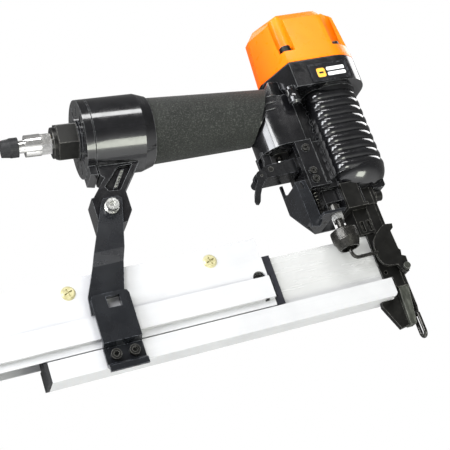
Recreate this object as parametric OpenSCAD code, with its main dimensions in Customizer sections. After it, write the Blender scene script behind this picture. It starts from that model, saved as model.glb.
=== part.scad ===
// Pneumatic flooring nailer: ribbed barrel, raked grip, long side-loading magazine.
// X runs forward, Z up along the driver, Y = 0 is the plane of symmetry.
// The origin is on the driver's axis, level with the tip of the nose.

/* [Head] */
// Width of the head across its flat sides
head_w = 63; // [61:0.5:66]
// Height of the parting line between casting and cap
head_z = 202.2; // [200:0.1:204]
// Top of the cap
head_top = 248; // [244:1:254]
// Height of the casting's flange at the parting line
flange_h = 20; // [18:0.5:21]

/* [Barrel] */
// Radius over the cooling ribs
rib_r = 24.2; // [23.5:0.1:25]
// Spacing of the cooling ribs
rib_pitch = 7.15; // [7:0.05:7.3]
// Number of cooling ribs
rib_count = 9; // [7:1:9]
// Height of the lowest rib
rib_z = 119.9; // [119:0.1:121]
// Bore of the cylinder sleeve
bore_d = 33; // [30:0.5:34]
// Stroke of the piston
stroke = 71.5; // [60:0.5:71.5]

/* [Grip] */
// Angle of the grip above horizontal, rising to the rear
grip_tilt = 3.394; // [3:0.1:4]
// Height of the grip's axis over the origin
grip_z = 175.1; // [174:0.1:176]
// Radius of the sleeve at its rear end
grip_r_rear = 23.8; // [23:0.1:24.5]
// Radius of the sleeve at its front end
grip_r_front = 20.4; // [20:0.1:21]
// Radius of the end cap
cap_r = 27.7; // [27:0.1:28.5]
// Width across flats of the inlet bushing's hexagon
inlet_af = 24; // [22:1:24]
// Width across flats of the air plug's hexagon
plug_af = 14; // [13:1:15]

/* [Magazine] */
// Half width of the fixed rail
rail_hw = 10.5; // [10:0.1:11]
// Length of the fixed rail
rail_l = 246; // [240:1:250]
// Half width of the nail track
track_hw = 5.5; // [5:0.1:5.6]
// Front end of the sliding cover at rest
cover_front = -95; // [-97:0.5:-93]
// Length of the sliding cover
cover_l = 245; // [230:5:260]
// Width of the slot that holds the nails
nail_slot = 2.2; // [1.8:0.1:2.4]

/* [Trigger and safety] */
// Half width of the trigger
trigger_hw = 9; // [8.5:0.1:9]
// Radius of the depth knob's knurled band
knob_r = 9.5; // [9:0.1:10]
// Diameter of the link wire
wire_d = 2.6; // [2.2:0.1:2.8]

/* [Hidden] */
$fn = 64;

BLACK = "#141416";
STEEL = "#3a3b3d";
ZINC = "#c8ccd0";
SILVER = "#e4e4e6";
ORANGE = "#ff8c14";
RUBBER = "#26282a";

fit = 0.05;            // radial clearance of a running fit
cut = 1;               // how far a cutter runs past the face that it opens

head_hw = head_w / 2;
flange_z = head_z - flange_h;
gasket_t = 0.6;
notch_z = 212.5;               // seat of the head screws in the cap
cap_z = head_z + gasket_t;
corner_xy = [-28, 26.5];       // rear head screws
front_xy = [14, 21.5];         // front head screws

root_r = rib_r - 2;
barrel_back = -21;
corner_r = 8;               // rear corners of the barrel
dome_r = 16;
dome_z = 120;
dome_bottom = dome_z - dome_r;
barrel_top = 177;
boss_z = 172;                // underside of the head screws' bosses
liner_r = bore_d / 2 + 2.5;
liner_z = 122;               // lower end of the sleeve
piston_z = 190;
piston_h = 10;
bumper_z = piston_z - stroke - 8;
blade_t = 1.5;
blade_hw = 3.2;

column_x = -47.5;
column_r = 19;
column_z = 145.7;
valve_x = -51.5;
valve_r = 7.9;
stem_r = 1.6;
pad_x = [-44.5, -32];
pad_z = [109, 145.7];
pad_y = -14;
pivot = [-64.6, 132.7];        // trigger pin
pivot_r = 2;
lock_at = [-74, 128.2];        // lock lever's pin
lock_pin_r = 1;
guide_at = [-39, -8];          // safety guide pin
guide_r = 1.6;
rod_at = [-34.8, -20.5];       // depth adjuster
rod_r = 2.5;
contact_at = [4.9, 38.8];      // contact pin
contact_pin_r = 1.5;

sleeve_edge = [[-44.3, 201.9], [-66.8, 158]];
cap_back = -184;
cap_front = -141;
disc_back = -190.5;
bolt_at = [-184.8, 127.3];

rail_z = [21, 34.2];
rail_x = [-7.5 - rail_l, -7.5];
track_top = 69.5;
cover_x = [cover_front - cover_l, cover_front];
cover_top = 84.5;
cover_wall = 1.6;
slot_hw = nail_slot / 2;
cover_screw_x = [cover_front - 134, cover_front - 36];
latch_at = [cover_x[0] + 6, 46];
latch_lift = 25;
drum_at = [-105.5, 76.4];
clip_screw_x = [-211.5, -199.3];
clip_screw_z = 27.5;
nose_screw_y = [-5.8, 5.8];
nose_screw_z = 97.5;

function pair(v) = [-v, v];

// ---------- building helpers ----------

// Box given by its ranges along X, Y and Z
module block(x, y, z) {
    translate([x[0], y[0], z[0]])
        cube([x[1] - x[0], y[1] - y[0], z[1] - z[0]]);
}

// Outline in the XZ plane, extruded over the range y
module side_slab(y, pts) {
    translate([0, y[1], 0])
        rotate([90, 0, 0])
            linear_extrude(y[1] - y[0])
                polygon(pts);
}

// Outline in the YZ plane, extruded over the range x
module end_slab(x, pts) {
    translate([x[0], 0, 0])
        rotate([90, 0, 90])
            linear_extrude(x[1] - x[0])
                polygon(pts);
}

// Round bar along X, Y or Z through a point of the other two axes
module rod_x(x, r, at) {
    translate([x[0], at[0], at[1]])
        rotate([0, 90, 0])
            cylinder(h = x[1] - x[0], r = r);
}

module rod_y(y, r, at) {
    translate([at[0], y[0], at[1]])
        rotate([-90, 0, 0])
            cylinder(h = y[1] - y[0], r = r);
}

module rod_z(z, r, at) {
    translate([at[0], at[1], z[0]])
        cylinder(h = z[1] - z[0], r = r);
}

module both_sides() {
    children();
    mirror([0, 1, 0])
        children();
}

// The grip's own frame: x runs along its axis, as in the part
module on_grip() {
    translate([0, 0, grip_z])
        rotate([0, grip_tilt, 0])
            children();
}

module grip_rod(x, r1, r2) {
    translate([x[0], 0, 0])
        rotate([0, 90, 0])
            cylinder(h = x[1] - x[0], r1 = r1, r2 = r2);
}

// Socket-head screw: the head stands on z = 0, the shank hangs below it
module socket_screw(d, length) {
    head_r = 0.85 * d;
    difference() {
        union() {
            cylinder(h = d, r = head_r);
            translate([0, 0, -length])
                cylinder(h = length + 0.1, r = d / 2);
        }
        translate([0, 0, d / 2])
            cylinder(h = d, r = 0.46 * d, $fn = 6);
    }
}

// Quadratic curve through the control points a, b and c, at t from 0 to 1
function bend(a, b, c, t) = (1 - t) * (1 - t) * a + 2 * t * (1 - t) * b + t * t * c;

// Round wire swept along a list of points, with flat ends
module wire(pts, d) {
    sides = 12;
    n = len(pts);
    function along(i) = let (v = pts[min(i + 1, n - 1)] - pts[max(i - 1, 0)]) v / norm(v);
    ring = [for (i = [0 : n - 1])
        let (t = along(i), u = cross([0, 1, 0], t), a = u / norm(u), b = cross(t, a))
        [for (j = [0 : sides - 1])
            pts[i] + d / 2 * (cos(360 * j / sides) * a + sin(360 * j / sides) * b)]];
    skin = [for (i = [0 : n - 2], j = [0 : sides - 1])
        let (k = (j + 1) % sides)
        [i * sides + j, (i + 1) * sides + j, (i + 1) * sides + k, i * sides + k]];
    first = [for (j = [0 : sides - 1]) j];
    last = [for (j = [sides - 1 : -1 : 0]) (n - 1) * sides + j];
    polyhedron(points = [for (r = ring, q = r) q], faces = concat(skin, [first], [last]));
}

// Coil spring standing on z = 0
module coil(r, wire_r, turns, height) {
    sides = 6;
    per_turn = 12;
    rings = turns * per_turn;
    rise = height - 2 * wire_r;
    pts = [for (i = [0 : rings], j = [0 : sides - 1])
        let (a = 360 * i / per_turn, b = 360 * j / sides, d = r + wire_r * cos(b))
        [d * cos(a), d * sin(a), wire_r + rise * i / rings + wire_r * sin(b)]];
    skin = [for (i = [0 : rings - 1], j = [0 : sides - 1])
        let (k = (j + 1) % sides)
        [i * sides + j, i * sides + k, (i + 1) * sides + k, (i + 1) * sides + j]];
    first = [for (j = [sides - 1 : -1 : 0]) j];
    last = [for (j = [0 : sides - 1]) rings * sides + j];
    polyhedron(points = pts, faces = concat(skin, [first], [last]));
}

// ---------- head ----------

// Plan of the head: flat sides, a blunt V at the rear and a round front
module head_plan(inset = 0) {
    front_r = head_hw - 7.3;
    polygon([
        [-32 + inset, -head_hw + inset], [-45.5 + inset, -3.2], [-45.5 + inset, 3.2],
        [-32 + inset, head_hw - inset], [5, head_hw - inset], [5, -head_hw + inset]]);
    for (y = [-7.3, 7.3])
        translate([5, y])
            circle(r = front_r - inset);
    translate([5, -7.3])
        square([front_r - inset, 14.6]);
}

module head_screw_places() {
    for (xy = [corner_xy, front_xy], s = [-1, 1])
        translate([xy[0], s * xy[1], 0])
            children();
}

// ---------- casting ----------

// Plan of the barrel at radius r: round in front, short flats, rounded rear corners
module barrel_plan(r) {
    corner_x = barrel_back + corner_r;
    circle(r = r);
    translate([corner_x, -r])
        square([-corner_x, 2 * r]);
    for (s = [-1, 1])
        translate([corner_x, s * (r - corner_r)])
            circle(r = corner_r);
    translate([barrel_back, corner_r - r])
        square([corner_r, 2 * (r - corner_r)]);
}

// Each rib is built of steps, the widest the thinnest
module barrel() {
    dome_r0 = rib_r - 0.3;
    steps = [[-0.2, 2.4], [-0.9, 4.8], [-1.6, 6.1]];
    translate([0, 0, dome_z - 4])
        linear_extrude(flange_z - dome_z + 5)
            barrel_plan(root_r);
    for (i = [0 : rib_count - 1], s = steps)
        translate([0, 0, rib_z + i * rib_pitch - s[1] / 2])
            linear_extrude(s[1])
                barrel_plan(rib_r + s[0]);
    rotate_extrude() {
        translate([0, dome_bottom])
            square([dome_r0 - dome_r, dome_r + cut]);
        intersection() {
            translate([dome_r0 - dome_r, dome_z])
                circle(r = dome_r);
            translate([0, dome_bottom])
                square([rib_r, dome_r]);
        }
    }
    translate([0, 0, barrel_top - 3])
        cylinder(h = flange_z - barrel_top + 4, r1 = root_r - 0.4, r2 = rib_r + 1.5);
}

module head_flange() {
    difference() {
        translate([0, 0, flange_z])
            linear_extrude(flange_h)
                head_plan();
        side_slab(pair(40), [
            [-50, flange_z - 1], [-50, head_z - 5.2], [-45.4, head_z - 5.2],
            [-41, head_z - 9], [-37, head_z - 15], [-33.5, flange_z - 1]]);
    }
    // bosses of the rear head screws
    both_sides() {
        rod_z([boss_z + 1.5, flange_z + 3], 4.5, [-35, -25]);
        translate([-35, -25, boss_z])
            cylinder(h = 1.5, r1 = 3, r2 = 4.5);
    }
}

module column() {
    rod_z([column_z, 196], column_r, [column_x, 0]);
    block([column_x, -34.5], pair(column_r), [column_z, flange_z + 2]);
    // web to the barrel
    block([-35, barrel_back + 6], pair(9), [113, flange_z + 2]);
    // lower leg, which carries the guide cover
    block([-42.8, -32], pair(-pad_y), [pad_z[0], column_z + 1]);
    block([-34, -20], pair(11), [pad_z[0], column_z + 1]);
    // ears of the trigger pin
    both_sides()
        side_slab([4.1, 6.8], [
            [-66.4, 148], [-66.4, 140], [-68, 134], [-66.6, 130.4], [-63, 129.8],
            [-61, 132], [-60.2, 147]]);
}

// The seat that the nose bolts to, and the lug in front of it
module nose_seat() {
    block([-20, -5.1], pair(12.3), [91.6, 112]);
    block([-33, -19], pair(8), [99, 112]);
    side_slab(pair(9), [[7, 102.2], [15.5, 102.2], [17, 103.6], [17, 112], [7, 112]]);
}

module nose_cheeks(grow) {
    both_sides()
        block([-20.8 - grow, -8 + grow], [-15 - grow, -12.5 + grow], [91, 109 + grow]);
}

// Everything behind the raked front edge of the sleeve
module behind_sleeve_edge() {
    side_slab(pair(40), [
        [-44.3, 230], sleeve_edge[0], sleeve_edge[1], [-100, 158], [-100, 230]]);
}

module sleeve_outer() {
    difference() {
        on_grip()
            grip_rod([-143, -40], grip_r_rear, grip_r_front - 0.35);
        side_slab(pair(40), [
            sleeve_edge[0], sleeve_edge[1], [-72, 140], [0, 140], [0, 215], [-44.3, 215]]);
    }
}

module grip_core(r1, r2, x0, x1) {
    on_grip()
        grip_rod([x0, x1], r1, r2);
}

module housing() {
    color(BLACK)
    difference() {
        union() {
            difference() {
                union() {
                    barrel();
                    head_flange();
                    column();
                    nose_seat();
                }
                behind_sleeve_edge();
            }
            grip_core(grip_r_rear - 2.9, grip_r_front - 3.1, -147, -45);
        }
        // cylinder bore, bumper pocket and driver passage
        rod_z([liner_z, head_z + cut], liner_r + fit, [0, 0]);
        rod_z([bumper_z, liner_z + cut], bore_d / 2 + fit, [0, 0]);
        block(pair(blade_t), pair(blade_hw + 0.6), [80, bumper_z + cut]);
        // air way from the grip to the head
        on_grip()
            grip_rod([-150, -58], 16.5, 14);
        rod_z([150, head_z + cut], 7, [-36, 0]);
        // trigger valve bore
        rod_z([column_z - cut, 169], valve_r, [valve_x, 0]);
        // trigger pin, safety guide pin
        rod_y(pair(12), pivot_r + fit, pivot);
        rod_z([100, 152], guide_r + fit, guide_at);
        head_screw_places()
            rod_z([flange_z + 1.5, head_z + cut], 2.5, [0, 0]);
        nose_cheeks(fit);
        for (y = nose_screw_y)
            rod_x([-16, 10], 2.5 + fit, [y, nose_screw_z]);
        guide_screw_places(0)
            cylinder(h = 4.2, r = 1.5);
    }
}

// Three small screws hold the guide cover; each child is drilled along +Y
module guide_screw_places(y) {
    for (z = [139.3, 121, 114.4])
        translate([-39 + 0.04 * (z - 121), pad_y - y, z])
            rotate([-90, 0, 0])
                children();
}

module guide_cover() {
    near = -19.5;
    color(BLACK)
    difference() {
        union() {
            block(pad_x, [near, pad_y], pad_z);
            block([pad_x[1] - 1, -28.5], [near, pad_y], [pad_z[0], pad_z[0] + 1.6]);
            side_slab([near + 0.6, pad_y], [
                [pad_x[1], pad_z[0]], [pad_x[1] + 1, pad_z[0] + 6], [pad_x[1] + 0.6, pad_z[1] - 3],
                [pad_x[1] - 1, pad_z[1] - 3], [pad_x[1] - 1, pad_z[0]]]);
        }
        guide_screw_places(0)
            translate([0, 0, -10])
                cylinder(h = 12, r = 1.5);
        guide_screw_places(0)
            translate([0, 0, -10])
                cylinder(h = 10 - 4.2, r = 2.9);
    }
}

module guide_cover_screws() {
    color(STEEL)
    guide_screw_places(4.2)
        rotate([180, 0, 0])
            socket_screw(3, 8);
}

// ---------- cap of the head ----------

module head_gasket() {
    color(RUBBER)
    difference() {
        translate([0, 0, head_z])
            linear_extrude(gasket_t)
                head_plan(0.4);
        rod_z([head_z - cut, cap_z + cut], 22, [0, 0]);
        rod_z([head_z - cut, cap_z + cut], 7, [-36, 0]);
        head_screw_places()
            rod_z([head_z - cut, cap_z + cut], 2.6, [0, 0]);
    }
}

module head_cap() {
    color(ORANGE)
    difference() {
        union() {
            translate([0, 0, cap_z])
                linear_extrude(2)
                    head_plan();
            hull() {
                translate([0, 0, cap_z + 2])
                    linear_extrude(0.1)
                        head_plan();
                translate([0, 0, head_top - 8])
                    linear_extrude(0.1)
                        head_plan(2.4);
                translate([0, 0, head_top - 0.1])
                    linear_extrude(0.1)
                        head_plan(9);
            }
        }
        // chamber of the head valve
        rod_z([cap_z - cut, head_top - 6], 22, [0, 0]);
        rod_z([cap_z - cut, head_top - 20], 7, [-36, 0]);
        block([-36, 0], pair(6), [head_top - 26, head_top - 14]);
        // open corners over the head screws
        for (s = [-1, 1]) {
            translate([corner_xy[0], s * corner_xy[1], notch_z])
                cylinder(h = 60, r = 5.6);
            block([-36, -22.5], s > 0 ? [corner_xy[1], 50] : [-50, -corner_xy[1]],
                [notch_z, head_top + cut]);
            translate([front_xy[0], s * front_xy[1], notch_z])
                cylinder(h = 60, r = 5.6);
            translate([front_xy[0] - 5.6, s > 0 ? front_xy[1] : -50, notch_z])
                cube([30, 50 - front_xy[1], 60]);
        }
        head_screw_places()
            rod_z([cap_z - cut, notch_z + cut], 2.6, [0, 0]);
    }
}

module head_screws() {
    color(STEEL)
    head_screw_places()
        translate([0, 0, notch_z])
            socket_screw(5, 27);
}

module badge_plate() {
    x = [-19, 11.5];
    z = [183, 197.5];
    rim = 1;
    y = -head_hw;
    color(BLACK)
    difference() {
        block(x, [y - 0.9, y - 0.02], z);
        block([x[0] + rim, x[1] - rim], [y - 2, y - 0.5], [z[0] + rim, z[1] - rim]);
    }
}

// ---------- power train ----------

module cylinder_sleeve() {
    color(ZINC)
    difference() {
        union() {
            rod_z([liner_z, head_z + 3], liner_r, [0, 0]);
            rod_z([cap_z + 0.4, cap_z + 3], 21, [0, 0]);
        }
        rod_z([liner_z - cut, head_z + 6], bore_d / 2, [0, 0]);
    }
}

module piston() {
    r = bore_d / 2 - 0.1;
    groove_z = piston_z + 4;
    color(ZINC)
    difference() {
        union() {
            rod_z([piston_z, piston_z + piston_h], r, [0, 0]);
            rod_z([piston_z - 5, piston_z + 1], 7, [0, 0]);
        }
        translate([0, 0, groove_z])
            difference() {
                cylinder(h = 3, r = r + 1);
                translate([0, 0, -cut])
                    cylinder(h = 5, r = r - 2.7);
            }
        block(pair(blade_t / 2 - fit), pair(blade_hw - fit), [piston_z - 8, piston_z + 3]);
    }
}

module piston_ring() {
    r = bore_d / 2 - 0.1;
    color(RUBBER)
    translate([0, 0, piston_z + 5.5])
        rotate_extrude()
            translate([r - 1.3, 0])
                circle(r = 1.35, $fn = 32);
}

module driver_blade() {
    color(STEEL)
    block(pair(blade_t / 2 - fit), pair(blade_hw - fit), [73, piston_z + 3]);
}

module bumper() {
    top = piston_z - stroke - 0.5;
    color(RUBBER)
    difference() {
        union() {
            rod_z([bumper_z, top - 2], bore_d / 2 - 0.2, [0, 0]);
            rod_z([top - 3, top], bore_d / 2 - 2, [0, 0]);
        }
        rod_z([bumper_z - cut, top + cut], 8, [0, 0]);
    }
}

module head_valve() {
    z = cap_z + 3.2;
    color(RUBBER)
    difference() {
        union() {
            rod_z([z, z + 4], 21, [0, 0]);
            rod_z([z + 3, z + 16], 18, [0, 0]);
        }
        rod_z([z + 6, z + 20], 14, [0, 0]);
    }
}

module head_valve_spring() {
    z = cap_z + 3.2 + 6;
    color(ZINC)
    translate([0, 0, z + 0.1])
        coil(11.5, 1.1, 5, head_top - 6 - z - 0.2);
}

// ---------- grip ----------

module grip_sleeve() {
    color(RUBBER)
    difference() {
        sleeve_outer();
        grip_core(grip_r_rear - 2.8, grip_r_front - 3, -150, -40);
    }
}

module end_cap() {
    arm = [
        [-184.9, 162], [-184.9, 152.8], [-182.5, 150.5], [-185, 148], [-194, 137.6], [-195.6, 137.4],
        [-195.6, 115.7], [-176.3, 115.7], [-171, 123.5], [-171, 138.5], [-154, 160],
        [-154, 162]];
    pocket = [
        [-171.6, 157], [-184.2, 144], [-182.6, 140.4], [-174.6, 139.6], [-161, 157]];
    color(BLACK)
    difference() {
        union() {
            on_grip() {
                grip_rod([cap_back, -149], cap_r, cap_r);
                grip_rod([-149.01, cap_front], cap_r, grip_r_rear + 1.2);
            }
            side_slab(pair(9), arm);
        }
        on_grip() {
            grip_rod([cap_back - cut, -152], 22.5, 22.5);
            grip_rod([-155, -143.2], grip_r_rear - 2.85, grip_r_rear - 2.85);
            grip_rod([-143.2, cap_front + cut], grip_r_rear + 0.05, grip_r_rear + 0.05);
        }
        both_sides()
            side_slab([-9 - cut, -6.5], pocket);
        rod_y(pair(12), 2.55, bolt_at);
    }
    // raised bar inside each pocket
    color(BLACK)
    both_sides()
        side_slab([-8, -6.5], [
            [-167.5, 154.6], [-169.8, 154.6], [-178.6, 141.8], [-176.2, 141.6]]);
}

module end_cap_seal() {
    color(RUBBER)
    on_grip()
        difference() {
            grip_rod([cap_back - 0.6, cap_back], cap_r - 1.4, cap_r - 1.4);
            grip_rod([cap_back - 2, cap_back + 1], 21, 21);
        }
}

module exhaust_cover() {
    slots = 10;
    color(BLACK)
    difference() {
        union() {
            on_grip() {
                grip_rod([disc_back, cap_back - 0.6], cap_r, cap_r);
                grip_rod([disc_back - 1.9, disc_back + 1], 14.5, 14.5);
            }
            side_slab(pair(10), [
                [disc_back - 1, 163], [disc_back - 1, 154.2], [-186.2, 152.8], [-186.2, 160]]);
        }
        on_grip() {
            grip_rod([disc_back + 3, cap_back], 20, 20);
            grip_rod([disc_back - 3, cap_back], 6, 6);
            for (i = [0 : slots - 1])
                rotate([-150 + 300 * i / (slots - 1) + 90, 0, 0])
                    translate([disc_back - 1, -1.1, 16.4])
                        cube([3.2, 2.2, 8]);
        }
    }
}

module inlet_bushing() {
    color(BLACK)
    on_grip()
        difference() {
            union() {
                translate([-206, 0, 0])
                    rotate([0, 90, 0])
                        cylinder(h = 13.6, r = inlet_af / 2 / cos(30), $fn = 6);
                grip_rod([-209, -206], 10.9, 10.9);
                grip_rod([-192.4, -183], 5.9, 5.9);
            }
            grip_rod([-210, -182], 4.95, 4.95);
        }
}

module air_plug() {
    color(ZINC)
    on_grip()
        difference() {
            union() {
                grip_rod([-210.2, -198], 4.9, 4.9);
                translate([-217, 0, 0])
                    rotate([0, 90, 0])
                        cylinder(h = 7, r = plug_af / 2 / cos(30), $fn = 6);
                grip_rod([-227.7, -217], 7.6, 7.6);
                grip_rod([-232.3, -227.6], 4.35, 4.35);
                grip_rod([-240, -232.3], 4, 4);
            }
            grip_rod([-241, -197], 2.6, 2.6);
        }
}

module dust_cap() {
    color(RUBBER)
    on_grip()
        difference() {
            union() {
                grip_rod([-243.9, -238], 5.9, 6.6);
                grip_rod([-238, -232.4], 6.9, 6.9);
            }
            grip_rod([-240.6, -232], 4.05, 4.05);
        }
}

// ---------- trigger and its valve ----------

module valve_body() {
    color(ZINC)
    difference() {
        rod_z([column_z - 1.5, 168], valve_r - fit, [valve_x, 0]);
        rod_z([column_z - 3, 170], stem_r + fit, [valve_x, 0]);
        rod_z([column_z + 4, 170], 4, [valve_x, 0]);
    }
}

module valve_stem() {
    color(ZINC) {
        rod_z([138.6, 163], stem_r, [valve_x, 0]);
        rod_z([138.8, 140], 3, [valve_x, 0]);
        rod_z([158, 160], 3.6, [valve_x, 0]);
    }
}

module stem_spring() {
    color(ZINC)
    translate([valve_x, 0, 140.05])
        coil(2.5, 0.35, 4, column_z - 1.6 - 140.1);
}

module trigger() {
    wall = 1.8;
    color(STEEL)
    difference() {
        union() {
            both_sides()
                side_slab([-trigger_hw, -trigger_hw + wall], [
                    [-67.9, 136], [-44.8, 137.6], [-44.3, 127], [-71.6, 127],
                    [-71.1, 134.3]]);
            block([-69, -44.3], pair(trigger_hw), [127, 129]);
            // knuckle of the lock lever
            block([-72, -68], [-2.8, 6], [127, 129]);
            rod_y([-2.8, 6], 3.2, lock_at);
        }
        rod_y(pair(12), pivot_r + fit, pivot);
        rod_y(pair(12), lock_pin_r + fit, lock_at);
    }
}

module trigger_pin() {
    color(ZINC)
    rod_y(pair(trigger_hw + 0.5), pivot_r, pivot);
}

module trip_lever() {
    color(STEEL)
    difference() {
        union() {
            rod_y(pair(3), 3.3, pivot);
            side_slab(pair(3), [
                [-64.6, 135.6], [-50, 134.6], [-47.5, 133.4], [-47.5, 131.6], [-64.6, 130.2]]);
        }
        rod_y(pair(6), pivot_r + fit, pivot);
    }
}

module lock_lever() {
    tail = [[-76.8, 127.4], [-80.4, 121.6], [-83.4, 116], [-85.2, 110.6], [-84.8, 108.2],
        [-83, 107.6], [-81.4, 109.4], [-79.4, 114.6], [-76.2, 120], [-72.4, 124.4]];
    color(STEEL)
    difference() {
        union() {
            rod_y([-6.4, -3.1], 4.3, lock_at);
            rod_y([-11.6, -9.6], 4, lock_at);
            rod_y([-10, -6], 2.2, lock_at);
            side_slab([-11.6, -9.6], tail);
        }
        rod_y([-13, 0], lock_pin_r + fit, lock_at);
    }
}

module lock_pin() {
    color(ZINC)
    rod_y([-12, 6.4], lock_pin_r, lock_at);
}

// ---------- contact safety ----------

module safety_arm() {
    near = [-17, -15];
    far = [10.2, 12.2];
    plate = [85, 87];
    color(STEEL)
    difference() {
        union() {
            side_slab(near, [
                [-54.2, 116], [-46.6, 116.3], [-45.7, 107.9], [-45.2, 104.5], [-44.9, 87.7],
                [-44.9, 84], [-48, 80.4], [-53.5, 81.6], [-53.8, 101.6]]);
            end_slab([-53.6, -51.8], [
                [near[0], 85], [-8, 85], [far[1], 103], [far[1], 115.5], [near[0], 115.5]]);
            side_slab(far, [
                [-53.6, 103], [-53.6, 126], [-51.6, 126], [-51.6, 118.4], [-47.4, 118.4],
                [-47.4, 108.4], [-45, 107.9], [-45, 97.5], [-24, 97.5], [-24, 85],
                [-40, 85], [-47, 94]]);
            // shelf for the guide pin and the depth rod
            block([-46, -29.4], [-25.5, -12], plate);
            translate([0, 0, plate[0]])
                linear_extrude(plate[1] - plate[0])
                    polygon([[-52, -12.5], [-52, -8], [-40, 11], [-36, 11], [-36, -12.5]]);
        }
        // oval slot in the near flange
        for (z = [111.4, 114])
            rod_y([-20, -12], 1.4, [-50.1, z]);
        block([-51.5, -48.7], [-20, -12], [111.4, 114]);
        rod_z([80, 90], rod_r + fit, rod_at);
        rod_z([80, 90], guide_r, guide_at);
    }
}

module safety_guide_pin() {
    color(ZINC)
    rod_z([85, 139.5], guide_r, guide_at);
}

module safety_spring() {
    color(ZINC)
    translate([guide_at[0], guide_at[1], 87.1])
        coil(2.7, 0.45, 8, pad_z[0] - 87.3);
}

module adjuster_rod() {
    color(STEEL)
    difference() {
        union() {
            rod_z([64.2, 92], rod_r, rod_at);
            rod_z([87.05, 91], 4.1, rod_at);
        }
        for (z = [75 : 1 : 80])
            translate([rod_at[0], rod_at[1], z])
                difference() {
                    cylinder(h = 0.4, r = 4);
                    cylinder(h = 0.4, r = 2.2);
                }
    }
}

module jam_nut() {
    color(ZINC)
    translate([rod_at[0], rod_at[1], 80.5])
        difference() {
            cylinder(h = 4.4, r = 4.62, $fn = 6);
            translate([0, 0, -cut])
                cylinder(h = 8, r = rod_r);
        }
}

module depth_knob() {
    flutes = 36;
    color(STEEL)
    translate([rod_at[0], rod_at[1], 0])
        difference() {
            union() {
                translate([0, 0, 58.5])
                    cylinder(h = 6, r1 = 7, r2 = knob_r - 0.3);
                translate([0, 0, 64.5])
                    cylinder(h = 7.5, r = knob_r);
                translate([0, 0, 72])
                    cylinder(h = 2, r1 = knob_r, r2 = 5.4);
            }
            translate([0, 0, 57])
                cylinder(h = 7, r = 5.9);
            translate([0, 0, 60])
                cylinder(h = 20, r = rod_r + fit);
            for (i = [0 : flutes - 1])
                rotate([0, 0, 360 * i / flutes])
                    translate([knob_r + 0.25, 0, 65])
                        cylinder(h = 6.4, r = 0.6, $fn = 6);
        }
}

module link_wire() {
    top = [rod_at[0], rod_at[1], 64.1];
    turn = [rod_at[0], rod_at[1], 57];
    corner = [rod_at[0] + 0.2, rod_at[1], 50.8];
    low = [rod_at[0] + 6, rod_at[1] + 2.2, 51.8];
    end = [-11.5, -13, 53.6];
    color(STEEL)
    wire(concat([top], [for (i = [0 : 8]) bend(turn, corner, low, i / 8)], [end]), wire_d);
}

module contact_plate() {
    color(STEEL)
    difference() {
        side_slab([-14, -12], [
            [0.5, 72.4], [7, 71.7], [6.4, 68.5], [3.7, 66.6], [4.2, 52.6], [5.5, 51.2],
            [4.6, 47.4], [7.5, 46.1], [7, 36.4], [1.4, 36], [-1, 41.4], [-7.8, 42.1],
            [-11, 44], [-12.9, 47.6], [-13.5, 52.5], [-13.1, 58], [-11.5, 62.6],
            [-8.6, 66.2], [-4.7, 69.1]]);
        rod_y([-16, -10], contact_pin_r, contact_at);
    }
}

module contact_pin() {
    color(ZINC) {
        rod_y([-15.8, -14.02], 2.5, contact_at);
        rod_y([-14.1, -9.6], contact_pin_r, contact_at);
    }
}

module contact_tip() {
    leg_x = 5.4;
    leg_y = 3.3;
    wire_r = 1.35;
    bend_z = -6.3;
    color(STEEL)
    difference() {
        union() {
            // strip in front of the nose
            side_slab(pair(3.6), [
                [5.3, 45], [7, 45], [7, 12], [5.9, 5.4], [4, 4.6], [4, 7], [5.3, 9]]);
            block([5.3, 7], [-11.9, 3.6], [35.6, 45]);
            block([1.4, 7], [-11.9, -10.2], [35.6, 44]);
            // wire loop
            for (s = [-1, 1])
                rod_z([bend_z, 7], wire_r, [leg_x, s * leg_y]);
            intersection() {
                translate([leg_x, 0, bend_z])
                    rotate([90, 0, 90])
                        rotate_extrude()
                            translate([leg_y, 0])
                                circle(r = wire_r, $fn = 32);
                block([0, 10], pair(8), [bend_z - 10, bend_z]);
            }
        }
        rod_y([-13, -9], contact_pin_r, contact_at);
    }
}

// ---------- nose ----------

module nose_body() {
    color(STEEL)
    difference() {
        union() {
            // spine
            block([-5, 2.4], pair(9), [69, 91]);
            block([-5, 2.4], pair(10), [91, 103.8]);
            block([-4.6, 2.4], pair(7), [27.5, 70]);
            block([rail_x[1], -4.5], pair(6), [27.5, 36]);
            // flange at the magazine's mouth
            block([-12, -4.6], pair(7), [35.5, 70]);
            // head block with its cheeks and floor
            nose_cheeks(0);
            block([-20.8, -4.9], pair(15), [89.4, 91.5]);
            block([-16, -4.9], pair(8), [70, 90]);
            // gusset under the rail
            side_slab(pair(2), [
                [-3.2, 27.6], [-4.6, 27.6], [-4.6, 22], [-9.2, 20.8], [-17.2, 20.8],
                [-17.8, 17.3], [-10, -0.6], [-3.4, 0.4]]);
        }
        // driver channel, open to the front
        block([-blade_t / 2 - 0.1, 3], pair(blade_hw + 0.15), [20, 110]);
        // nails enter from the rear, between the magazine's walls
        block([-20, 0], pair(slot_hw), [28, 72]);
        block([-13, -7.6], pair(slot_hw), [30, 72]);
        // slots in the web's sides
        for (x = [-13.4, -8.4])
            both_sides()
                block([x, x + 2.4], [-9, -5.5], [72, 80]);
        rod_y(pair(20), 1.3, [-8.4, 39.6]);
        for (y = nose_screw_y)
            rod_x([-10, 6], 2.55, [y, nose_screw_z]);
    }
}

module nose_front_plate() {
    color(STEEL)
    difference() {
        union() {
            block([2.45, 5], pair(10), [91, 103.8]);
            block([2.45, 5], pair(8.4), [74, 91]);
            block([2.45, 4.95], pair(7), [27.6, 74]);
            // tongue that closes the driver channel
            block([blade_t / 2 + 0.1, 2.5], pair(blade_hw + 0.05), [27.6, 103.8]);
        }
        for (y = nose_screw_y)
            rod_x([0, 6], 2.55, [y, nose_screw_z]);
    }
}

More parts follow.
